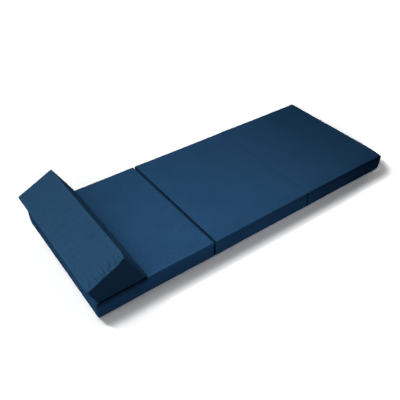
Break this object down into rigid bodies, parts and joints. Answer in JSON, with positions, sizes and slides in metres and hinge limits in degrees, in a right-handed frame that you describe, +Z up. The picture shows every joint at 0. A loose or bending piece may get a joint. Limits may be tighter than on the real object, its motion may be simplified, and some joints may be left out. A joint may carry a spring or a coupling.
{
  "type": "folding mattress",
  "caption": "Z-folding foam mattress with cloth-hinged sections, a flip-over wedge headrest and zipped navy cloth covers.",
  "frame": {"origin": "centre of the middle section's underside, on the floor", "axes": "+X from the head end to the foot end, +Y from the near side to the zipped far side, +Z up"},
  "size_m": [2.0173, 0.8063, 0.2897],
  "materials": {
    "cover_cloth": "matte",
    "hinge_cloth": "matte",
    "foam": "matte",
    "zip_tape": "matte",
    "zip_coil": "satin",
    "zip_metal": "satin"
  },
  "bodies": {
    "middle_section": {"middle_foam_core": "foam", "middle_top_sheet": "cover_cloth", "middle_bottom_sheet": "cover_cloth", "middle_near_band": "cover_cloth", "middle_head_end_band": "cover_cloth", "middle_foot_end_band": "cover_cloth", "middle_far_band_upper": "cover_cloth", "middle_far_band_lower": "cover_cloth", "middle_zip_tape": "zip_tape", "middle_zip_coil": "zip_coil", "middle_zip_closed_stop": "zip_metal", "middle_zip_open_stop": "zip_metal", "head_hinge_cloth": "hinge_cloth", "foot_hinge_cloth": "hinge_cloth"},
    "head_section": {"head_foam_core": "foam", "head_top_sheet": "cover_cloth", "head_bottom_sheet": "cover_cloth", "head_near_band": "cover_cloth", "head_head_end_band": "cover_cloth", "head_foot_end_band": "cover_cloth", "head_far_band_upper": "cover_cloth", "head_far_band_lower": "cover_cloth", "head_zip_tape": "zip_tape", "head_zip_coil": "zip_coil", "head_zip_closed_stop": "zip_metal", "head_zip_open_stop": "zip_metal", "wedge_hinge_cloth": "hinge_cloth"},
    "foot_section": {"foot_foam_core": "foam", "foot_top_sheet": "cover_cloth", "foot_bottom_sheet": "cover_cloth", "foot_near_band": "cover_cloth", "foot_head_end_band": "cover_cloth", "foot_foot_end_band": "cover_cloth", "foot_far_band_upper": "cover_cloth", "foot_far_band_lower": "cover_cloth", "foot_zip_tape": "zip_tape", "foot_zip_coil": "zip_coil", "foot_zip_closed_stop": "zip_metal", "foot_zip_open_stop": "zip_metal"},
    "wedge": {"wedge_foam_core": "foam", "wedge_base_sheet": "cover_cloth", "wedge_slope_sheet": "cover_cloth", "wedge_near_panel": "cover_cloth", "wedge_front_band": "cover_cloth", "wedge_back_band": "cover_cloth", "wedge_far_panel_upper": "cover_cloth", "wedge_far_panel_lower": "cover_cloth", "wedge_zip_tape": "zip_tape", "wedge_zip_coil": "zip_coil", "wedge_zip_closed_stop": "zip_metal", "wedge_zip_open_stop": "zip_metal"},
    "head_slider": {"head_zip_slider": "zip_metal"},
    "head_pull": {"head_zip_pull": "zip_metal"},
    "middle_slider": {"middle_zip_slider": "zip_metal"},
    "middle_pull": {"middle_zip_pull": "zip_metal"},
    "foot_slider": {"foot_zip_slider": "zip_metal"},
    "foot_pull": {"foot_zip_pull": "zip_metal"},
    "wedge_slider": {"wedge_zip_slider": "zip_metal"},
    "wedge_pull": {"wedge_zip_pull": "zip_metal"}
  },
  "joints": [
    {"name": "head_fold", "type": "hinge", "parent": "middle_section", "child": "head_section", "pos_m": [-0.332, 0, -0.0003], "axis": [0, -1, 0], "range_deg": [0, 180], "deforming": ["head_hinge_cloth"]},
    {"name": "foot_fold", "type": "hinge", "parent": "middle_section", "child": "foot_section", "pos_m": [0.331, 0, 0.1003], "axis": [0, -1, 0], "range_deg": [0, 180], "deforming": ["foot_hinge_cloth"]},
    {"name": "wedge_flip", "type": "hinge", "parent": "head_section", "child": "wedge", "pos_m": [-0.98755, 0, 0.09861], "axis": [0, -1, 0], "range_deg": [0, 151.1], "deforming": ["wedge_hinge_cloth"]},
    {"name": "head_zip", "type": "slide", "parent": "head_section", "child": "head_slider", "axis": [1, 0, 0], "range_m": [0, 0.6014]},
    {"name": "middle_zip", "type": "slide", "parent": "middle_section", "child": "middle_slider", "axis": [1, 0, 0], "range_m": [0, 0.6014]},
    {"name": "foot_zip", "type": "slide", "parent": "foot_section", "child": "foot_slider", "axis": [1, 0, 0], "range_m": [0, 0.6014]},
    {"name": "wedge_zip", "type": "slide", "parent": "wedge", "child": "wedge_slider", "axis": [1, 0, 0], "range_m": [0, 0.1925]},
    {"name": "head_pull_swing", "type": "hinge", "parent": "head_slider", "child": "head_pull", "pos_m": [-0.9647, 0.4046, 0.05], "axis": [0, 0, 1], "range_deg": [0, 180]},
    {"name": "middle_pull_swing", "type": "hinge", "parent": "middle_slider", "child": "middle_pull", "pos_m": [-0.3007, 0.4046, 0.05], "axis": [0, 0, 1], "range_deg": [0, 180]},
    {"name": "foot_pull_swing", "type": "hinge", "parent": "foot_slider", "child": "foot_pull", "pos_m": [0.3613, 0.4046, 0.05], "axis": [0, 0, 1], "range_deg": [0, 180]},
    {"name": "wedge_pull_swing", "type": "hinge", "parent": "wedge_slider", "child": "wedge_pull", "pos_m": [-0.97605, 0.4046, 0.1454], "axis": [0, 0, 1], "range_deg": [0, 180]}
  ]
}
